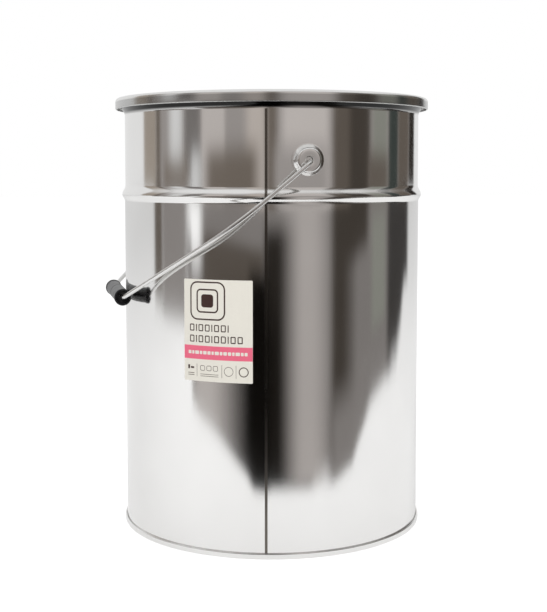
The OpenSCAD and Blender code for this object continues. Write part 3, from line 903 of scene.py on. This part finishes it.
def wrap_on_wall(obj, radius, thickness):
    """Bends flat print round the wall, from the label's left edge, and gives it its thickness"""
    s, f = sizes(), fittings()
    begin_edit(obj)
    for i in range(1, int(f.label_width / BEND_PITCH) + 1):
        bpy.ops.mesh.select_all(action="SELECT")
        bpy.ops.mesh.bisect(plane_co=(i * BEND_PITCH, 0, 0), plane_no=(1, 0, 0))
    bpy.ops.object.mode_set(mode="OBJECT")
    for vertex in obj.data.vertices:
        a = f.label_angle + vertex.co.x / s.body_radius
        vertex.co = (radius * math.sin(a), -radius * math.cos(a), LABEL_LOW + vertex.co.z)
    begin_edit(obj)
    bpy.ops.mesh.normals_make_consistent(inside=False)
    bpy.ops.object.mode_set(mode="OBJECT")
    turn_outwards(obj)
    thicken(obj, thickness, 1.0)
    smooth(obj, FITTING_SHADE)


def turn_outwards(obj):
    """Turns every face of a thin sheet away from the pail's axis"""
    mesh = bmesh.new()
    mesh.from_mesh(obj.data)
    for face in mesh.faces:
        middle = face.calc_center_median()
        if face.normal.dot(Vector((middle.x, middle.y, 0.0))) < 0:
            face.normal_flip()
    mesh.to_mesh(obj.data)
    mesh.free()


class PAIL_OT_label(bpy.types.Operator):
    """Cuts the paper label, wraps it round the wall and prints it"""
    bl_idname = "pail.label"
    bl_label = "Label"

    def execute(self, context):
        s, f = sizes(), fittings()
        wide, tall = f.label_width, LABEL_TALL
        corner, inset = 0.0008, 0.0001
        band_low, band_tall = 0.0195, 0.012
        dash_in, dash_low, dash_tall, dash_gap = 0.0045, 0.0240, 0.0030, 0.0009
        paper_in = s.body_radius + PAPER_GAP
        ink_in = paper_in + f.paper + INK_GAP
        paper = flat_bar(0.0, 0.0, wide, tall, corner)
        paper.name = "paper_label"
        wrap_on_wall(paper, paper_in, f.paper)
        finish(paper, "pail", "label_paper", FINISHES["paper"], "label")
        band = flat_bar(inset, band_low, wide - 2 * inset, band_tall)
        band.name = "label_band"
        wrap_on_wall(band, ink_in, f.ink)
        finish(band, "pail", "stripe_print", FINISHES["band"], "label_stripe")
        marks = join("label_marks", dark_marks(wide, tall))
        wrap_on_wall(marks, ink_in, f.ink)
        finish(marks, "pail", "dark_print", FINISHES["print"], "label_print")
        dashes = join("band_dashes", word_dashes(dash_in, dash_low, wide - 2 * dash_in, dash_tall, dash_gap))
        wrap_on_wall(dashes, ink_in + f.ink + INK_GAP, f.ink)
        finish(dashes, "pail", "label_paper", FINISHES["paper"])
        return {"FINISHED"}


def word_dashes(x, z, width, height, gap):
    """A row of plain dashes of changing length, which stands for a line of lettering"""
    pieces = []
    at = x
    lengths = (1.0, 0.7, 1.3, 0.8, 1.1)
    shortest, rounding = 0.5, 0.18
    i = 0
    while at < x + width - height * shortest:
        dash = min(height * lengths[i % len(lengths)], x + width - at)
        pieces.append(flat_bar(at, z, dash, height, height * rounding))
        at += dash + gap
        i += 1
    return pieces


def word_boxes(x, z, count, size, gap, stroke):
    """A row of small open boxes and single strokes, which stands for a line of large lettering"""
    wide, tall = size
    pieces = []
    at = x
    for i in range(count):
        single = i % 3 == 1
        across, edge = (stroke, 0.0) if single else (wide, stroke)
        pieces.append(flat_bar(at, z, across, tall, edge, edge))
        at += across + gap
    return pieces


def dark_marks(wide, tall):
    """The picture of a tablet in a frame, two lines of boxes and a row of small signs"""
    margin = 0.006
    lines_from = 0.0345
    box, gap, stroke = (0.0046, 0.0062), 0.0017, 0.0009
    line_pitch = 0.0098
    lower_count, upper_count = 10, 8
    picture, outline, left, down = 0.034, 0.0013, 0.009, 0.0008
    middle_x = wide / 2 - left
    middle_z = (lines_from + 2 * line_pitch + tall) / 2 - down
    pieces = []
    for share, rounding, frame_width in ((1.0, 0.007, outline), (0.62, 0.004, outline), (0.34, 0.0025, 0.0)):
        pieces.append(square(middle_x, middle_z, picture * share, rounding, frame_width))
    for i, count in enumerate((lower_count, upper_count)):
        pieces += word_boxes(margin, lines_from + i * line_pitch, count, box, gap, stroke)
    return pieces + small_signs(wide)


def small_signs(wide):
    """The row along the label's foot: upright lines, bars, boxes and two circles"""
    line_low, line_wide, line_tall = 0.004, 0.0003, 0.0115
    pieces = [flat_bar(share * wide, line_low, line_wide, line_tall) for share in (0.2, 0.57, 0.77)]
    for x, z, bar_wide, bar_tall in (
            (0.004, 0.005, 0.0065, 0.0005), (0.004, 0.0067, 0.0065, 0.0005),
            (0.004, 0.0105, 0.0018, 0.0035), (0.0068, 0.0110, 0.0034, 0.0016),
            (0.0165, 0.0045, 0.0175, 0.0004), (0.0165, 0.0062, 0.0175, 0.0004)):
        pieces.append(flat_bar(x, z, bar_wide, bar_tall))
    box_from, box_pitch, box_low, box, rounding, stroke = 0.0165, 0.0062, 0.0095, 0.0046, 0.0012, 0.0004
    for i in range(3):
        pieces.append(flat_bar(box_from + i * box_pitch, box_low, box, box, rounding, stroke))
    circle_at = 0.0098
    pieces.append(flat_disc(0.0435, circle_at, 0.0042, stroke))
    pieces.append(flat_disc(0.0570, circle_at, 0.0044, 2 * stroke))
    return pieces


def square(x, z, size, rounding, frame_width):
    """A square drawn flat round its middle"""
    return flat_bar(x - size / 2, z - size / 2, size, size, rounding, frame_width)


# Metres, degrees from the front ear, degrees downwards, millimetres, and shares of the picture's width
PHOTO_CAMERA = {"distance": 1.128, "height": 0.3383, "azimuth": -12.8, "pitch": 4.0,
                "lens": 67.4, "sensor": 36.0, "shift_x": 0.0031, "shift_y": -0.0863}
# The line on the floor that the screens stand along: degrees from the camera's side, and distance
SCREEN_LINE = ((-180, 2.4), (-112, 2.2), (-97, 1.75), (-85, 1.6), (-68, 1.52), (-60, 1.45), (-57, 0.74),
               (-50, 0.66), (-37, 0.57), (-23, 0.46), (-10, 0.36), (0, 0.345), (30, 0.345), (37.5, 0.36),
               (53, 0.43), (71, 0.68), (90, 0.86), (104, 0.92), (113, 1.3), (121, 2.2), (140, 2.4),
               (180, 2.4))


def screen_distance(direction):
    for (a, near), (b, far) in zip(SCREEN_LINE, SCREEN_LINE[1:]):
        if a <= direction <= b:
            return near + (far - near) * (direction - a) / (b - a)
    return SCREEN_LINE[-1][1]


def to_light(value):
    """Linear light, by the sRGB curve, for a screen that should show in the tin as a given grey"""
    return ((value + 0.055) / 1.055) ** 2.4


def bare_material(name):
    """A material with nothing but its output"""
    material = bpy.data.materials.new(name)
    material.use_nodes = True
    tree = material.node_tree
    tree.nodes.clear()
    return material, tree, tree.nodes.new("ShaderNodeOutputMaterial")


def screen_material(name, tones, soft, fade):
    """A screen that only its own light shows, with soft sides and a soft foot"""
    material, tree, out = bare_material(name)
    glow = tree.nodes.new("ShaderNodeEmission")
    clear = tree.nodes.new("ShaderNodeBsdfTransparent")
    mix = tree.nodes.new("ShaderNodeMixShader")
    place = tree.nodes.new("ShaderNodeTexCoord")
    split = tree.nodes.new("ShaderNodeSeparateXYZ")
    tree.links.new(place.outputs["UV"], split.inputs["Vector"])
    glow.inputs["Color"].default_value = (*tones, 1.0)
    across, up = split.outputs["X"], split.outputs["Y"]
    back, down = maths(tree, "SUBTRACT", 1.0, across), maths(tree, "SUBTRACT", 1.0, up)
    cover_share = edge_fade(tree, across, soft)
    for value, width in ((back, soft), (up, fade[0]), (down, fade[1])):
        cover_share = maths(tree, "MULTIPLY", cover_share, edge_fade(tree, value, width))
    tree.links.new(cover_share, mix.inputs["Fac"])
    tree.links.new(clear.outputs["BSDF"], mix.inputs[1])
    tree.links.new(glow.outputs["Emission"], mix.inputs[2])
    tree.links.new(mix.outputs["Shader"], out.inputs["Surface"])
    return material


def edge_fade(tree, value, width):
    narrowest = 0.0001
    return between(tree, value, 0.0, max(width, narrowest))


def screen(name, left, right, low, high, grey, tint, soft, fade, nearer):
    """A curved screen that stands round the pail and is seen only in its metal"""
    fewest_steps = 4
    steps = max(fewest_steps, int(right - left))
    deselect_all()
    bpy.ops.mesh.primitive_grid_add(x_subdivisions=steps, y_subdivisions=1, size=1.0, calc_uvs=True)
    panel = bpy.context.object
    panel.name = name
    left, right = left - soft / 2, right + soft / 2
    for vertex in panel.data.vertices:
        u, v = vertex.co.x + 0.5, vertex.co.y + 0.5
        direction = left + (right - left) * u
        r = screen_distance(direction) - nearer
        a = math.radians(direction + PHOTO_CAMERA["azimuth"])
        top = SHOULDER + r * math.tan(math.radians(TOP_ANGLE)) if high == TOP else high
        vertex.co = (r * math.sin(a), -r * math.cos(a), low + (top - low) * v)
    light = to_light(grey) / TIN_SHARE
    tones = [light * t for t in tint]
    panel.data.materials.append(screen_material(name, tones, soft / (right - left), fade))
    for ray in ("camera", "diffuse", "transmission", "volume_scatter", "shadow"):
        setattr(panel, "visible_" + ray, False)
    return panel


PLAIN = (1.0, 1.0, 1.0)
WARM = (1.06, 0.985, 0.945)
SAND = (1.09, 0.985, 0.91)
TAN = (1.12, 0.975, 0.835)
BROWN = (1.15, 0.97, 0.82)
GREEN = (0.99, 1.005, 0.89)
TEAL = (0.86, 1.04, 0.96)
# The upper screens end this many degrees above the pail's shoulder, and sloped metal sees the light over them
TOP_ANGLE = 41
SHOULDER = 0.36
TOP = "top"
# How much of a screen's light the tin throws back
TIN_SHARE = 0.86
# Screens are split at this height: the neck sees the upper ones and the wall the lower ones
SPLIT = 0.30
NECK_HIGH = 0.385


# Each screen has a name, its left and right edges in degrees, the height of its top if it has one of its
# own, its grey as seen in the tin, its tint, the width in degrees of its soft sides, the soft shares of its
# foot and top, how far it stands inside the line, and the height of its foot
def upper(name, left, right, grey, tint, soft, nearer):
    screen("upper_" + name, left, right, SPLIT, TOP, grey, tint, soft, (0.0, 0.7), nearer)


def neck(name, left, right, grey, tint, soft, nearer):
    screen("neck_" + name, left, right, SPLIT, NECK_HIGH, grey, tint, soft, (0.1, 0.45), nearer)


def lower(name, left, right, high, grey, tint, soft, fade, nearer, low=0.0):
    screen("lower_" + name, left, right, low, high, grey, tint, soft, fade, nearer)


def stand_upper_screens():
    upper("room", -95, 130, 0.55, WARM, 3, 0.0)
    upper("tan", -112, -95, 0.55, TAN, 3, 0.01)
    upper("post", -95, -90, 0.36, BROWN, 3, 0.02)
    upper("window", -80, -68, 0.79, PLAIN, 9, 0.01)
    upper("curtain", -66, -49, 0.41, WARM, 5, 0.02)
    upper("wall", -48, -30, 0.68, WARM, 3, 0.01)
    upper("tan_front", -15, -3, 0.66, SAND, 8, 0.01)
    upper("gap", -3, 3, 0.36, BROWN, 5, 0.02)
    upper("soft_light", 6, 34, 0.69, WARM, 7, 0.01)
    upper("dark", 37, 55, 0.32, BROWN, 6, 0.01)
    upper("darkest", 50, 72, 0.23, BROWN, 7, 0.02)
    upper("green", 75, 91, 0.50, GREEN, 6, 0.01)
    upper("teal", 93, 106, 0.23, TEAL, 3, 0.02)
    upper("brown", 107, 128, 0.34, BROWN, 4, 0.01)
    upper("edge", 129, 142, 0.15, BROWN, 3, 0.02)


def stand_neck_screens():
    """Darker things just above the pail's shoulder, which the neck shows low down"""
    neck("left", -44, -8, 0.38, BROWN, 10, 0.03)
    neck("far_left", -86, -62, 0.42, BROWN, 6, 0.03)
    neck("glint", -60, -48, 0.76, PLAIN, 8, 0.05)
    neck("right", 70, 92, 0.34, BROWN, 8, 0.03)
    neck("middle", 2, 33, 0.56, WARM, 8, 0.03)


def stand_lower_screens():
    lower("room", -64, 97, SPLIT, 0.46, WARM, 6, (0.14, 0.0), 0.0)
    lower("post", -97, -88, SPLIT, 0.34, BROWN, 3, (0.35, 0.0), 0.02)
    lower("grey", -88, -64, SPLIT, 0.50, WARM, 5, (0.2, 0.0), 0.01)
    lower("window", -63, -48, SPLIT, 0.97, PLAIN, 7, (0.75, 0.0), 0.04, 0.17)
    lower("brown", -50, -4, 0.27, 0.30, BROWN, 8, (0.5, 0.15), 0.01, 0.13)
    lower("haze", -55, -12, 0.15, 0.66, WARM, 14, (0.25, 0.4), 0.005)
    lower("gap", -4, 24, SPLIT, 0.13, BROWN, 4, (0.08, 0.12), 0.012)
    lower("soft_light", 11, 30.5, SPLIT, 0.62, WARM, 16, (0.10, 0.0), 0.02)
    lower("dark", 36, 70, SPLIT, 0.22, BROWN, 8, (0.10, 0.0), 0.01)
    lower("low_grey", 52, 96, 0.262, 0.45, WARM, 18, (0.25, 0.15), 0.02)
    lower("pale", 35, 70, 0.13, 0.46, WARM, 12, (0.2, 0.5), 0.03)
    lower("green", 74, 89, SPLIT, 0.50, GREEN, 6, (0.2, 0.2), 0.03, 0.10)
    lower("teal", 92, 127, SPLIT, 0.22, WARM, 6, (0.3, 0.0), 0.03)
    lower("black_side", -27, 4, 0.235, 0.04, BROWN, 34, (0.10, 0.35), 0.016)
    lower("black", -13, -2, 0.255, 0.04, BROWN, 6, (0.08, 0.15), 0.03)


class PAIL_OT_stage(bpy.types.Operator):
    """Sets the camera, the floor, the lamps and the screens that the metal shows"""
    bl_idname = "pail.stage"
    bl_label = "Stage"

    def execute(self, context):
        set_camera(context.scene)
        lay_floor()
        set_world(context.scene)
        hang_lamps()
        stand_upper_screens()
        stand_neck_screens()
        stand_lower_screens()
        context.scene.view_settings.view_transform = "Standard"
        return {"FINISHED"}


def set_camera(scene):
    data = bpy.data.cameras.new("photo_camera")
    data.lens = PHOTO_CAMERA["lens"]
    data.sensor_width = PHOTO_CAMERA["sensor"]
    data.shift_x = PHOTO_CAMERA["shift_x"]
    data.shift_y = PHOTO_CAMERA["shift_y"]
    camera = bpy.data.objects.new("photo_camera", data)
    scene.collection.objects.link(camera)
    a = math.radians(PHOTO_CAMERA["azimuth"])
    away = PHOTO_CAMERA["distance"]
    camera.location = (away * math.sin(a), -away * math.cos(a), PHOTO_CAMERA["height"])
    camera.rotation_euler = (math.radians(90 - PHOTO_CAMERA["pitch"]), 0.0, a)
    scene.camera = camera


FLOOR_SIZE = 30.0
FLOOR_TONE = (0.86, 0.86, 0.86, 1.0)
# Extra light of the floor and of the room where the camera sees them, and where metal shows them
FLOOR_SEEN, FLOOR_SHOWN = 0.55, 0.22
ROOM_LIGHT, ROOM_SEEN, ROOM_SHOWN = 0.55, 0.45, 0.27


def lay_floor():
    deselect_all()
    bpy.ops.mesh.primitive_plane_add(size=FLOOR_SIZE)
    floor = bpy.context.object
    floor.name = "studio_floor"
    material, tree, out = bare_material("Studio floor")
    paint = tree.nodes.new("ShaderNodeBsdfDiffuse")
    paint.inputs["Color"].default_value = FLOOR_TONE
    glow = tree.nodes.new("ShaderNodeEmission")
    path = tree.nodes.new("ShaderNodeLightPath")
    seen = maths(tree, "MULTIPLY", path.outputs["Is Camera Ray"], FLOOR_SEEN)
    shown = maths(tree, "MULTIPLY", path.outputs["Is Glossy Ray"], FLOOR_SHOWN)
    tree.links.new(maths(tree, "ADD", seen, shown), glow.inputs["Strength"])
    both = tree.nodes.new("ShaderNodeAddShader")
    tree.links.new(paint.outputs["BSDF"], both.inputs[0])
    tree.links.new(glow.outputs["Emission"], both.inputs[1])
    tree.links.new(both.outputs["Shader"], out.inputs["Surface"])
    floor.data.materials.append(material)


def set_world(scene):
    world = bpy.data.worlds.new("Studio")
    scene.world = world
    world.use_nodes = True
    tree = world.node_tree
    tree.nodes.clear()
    out = tree.nodes.new("ShaderNodeOutputWorld")
    back = tree.nodes.new("ShaderNodeBackground")
    back.inputs["Color"].default_value = (1.0, 1.0, 1.0, 1.0)
    path = tree.nodes.new("ShaderNodeLightPath")
    seen = maths(tree, "MULTIPLY", path.outputs["Is Camera Ray"], ROOM_SEEN)
    shown = maths(tree, "MULTIPLY", path.outputs["Is Glossy Ray"], ROOM_SHOWN)
    strength = maths(tree, "ADD", maths(tree, "ADD", seen, shown), ROOM_LIGHT)
    tree.links.new(strength, back.inputs["Strength"])
    tree.links.new(back.outputs["Background"], out.inputs["Surface"])


def hang_lamps():
    for name, place, aim, size, power in (
            ("key_lamp", (-1.6, -2.2, 2.2), (0.0, 0.0, 0.2), 1.8, 48.0),
            ("fill_lamp", (2.2, -1.6, 1.8), (0.0, 0.0, 0.2), 1.8, 20.0)):
        data = bpy.data.lights.new(name, "AREA")
        data.shape = "DISK"
        data.size = size
        data.energy = power
        lamp = bpy.data.objects.new(name, data)
        bpy.context.scene.collection.objects.link(lamp)
        lamp.location = place
        lamp.rotation_euler = (Vector(aim) - Vector(place)).to_track_quat("-Z", "Y").to_euler()
        lamp.visible_glossy = False


class PAIL_PT_panel(bpy.types.Panel):
    bl_label = "Tinplate pail"
    bl_idname = "PAIL_PT_panel"
    bl_space_type = "VIEW_3D"
    bl_region_type = "UI"
    bl_category = "Pail"

    def draw(self, context):
        for operator in OPERATORS:
            self.layout.operator(operator.bl_idname)
        for group in (context.scene.pail_sizes, context.scene.pail_fittings, context.scene.pail_colours):
            box = self.layout.box()
            for key in group.__annotations__:
                box.prop(group, key)


OPERATORS = (PAIL_OT_stage, PAIL_OT_body, PAIL_OT_lid, PAIL_OT_ears, PAIL_OT_bail, PAIL_OT_grip,
             PAIL_OT_label)
CLASSES = (PailSizes, PailFittings, PailColours) + OPERATORS + (PAIL_PT_panel,)


def register():
    for cls in CLASSES:
        bpy.utils.register_class(cls)
    bpy.types.Scene.pail_sizes = PointerProperty(type=PailSizes)
    bpy.types.Scene.pail_fittings = PointerProperty(type=PailFittings)
    bpy.types.Scene.pail_colours = PointerProperty(type=PailColours)


def unregister():
    del bpy.types.Scene.pail_colours
    del bpy.types.Scene.pail_fittings
    del bpy.types.Scene.pail_sizes
    for cls in reversed(CLASSES):
        bpy.utils.unregister_class(cls)


def main():
    register()
    make_finishes(bpy.context.scene.pail_colours)
    bpy.ops.pail.stage()
    bpy.ops.pail.body()
    bpy.ops.pail.lid()
    bpy.ops.pail.ears()
    bpy.ops.pail.bail()
    bpy.ops.pail.grip()
    bpy.ops.pail.label()
    deselect_all()


if __name__ == "__main__":
    main()
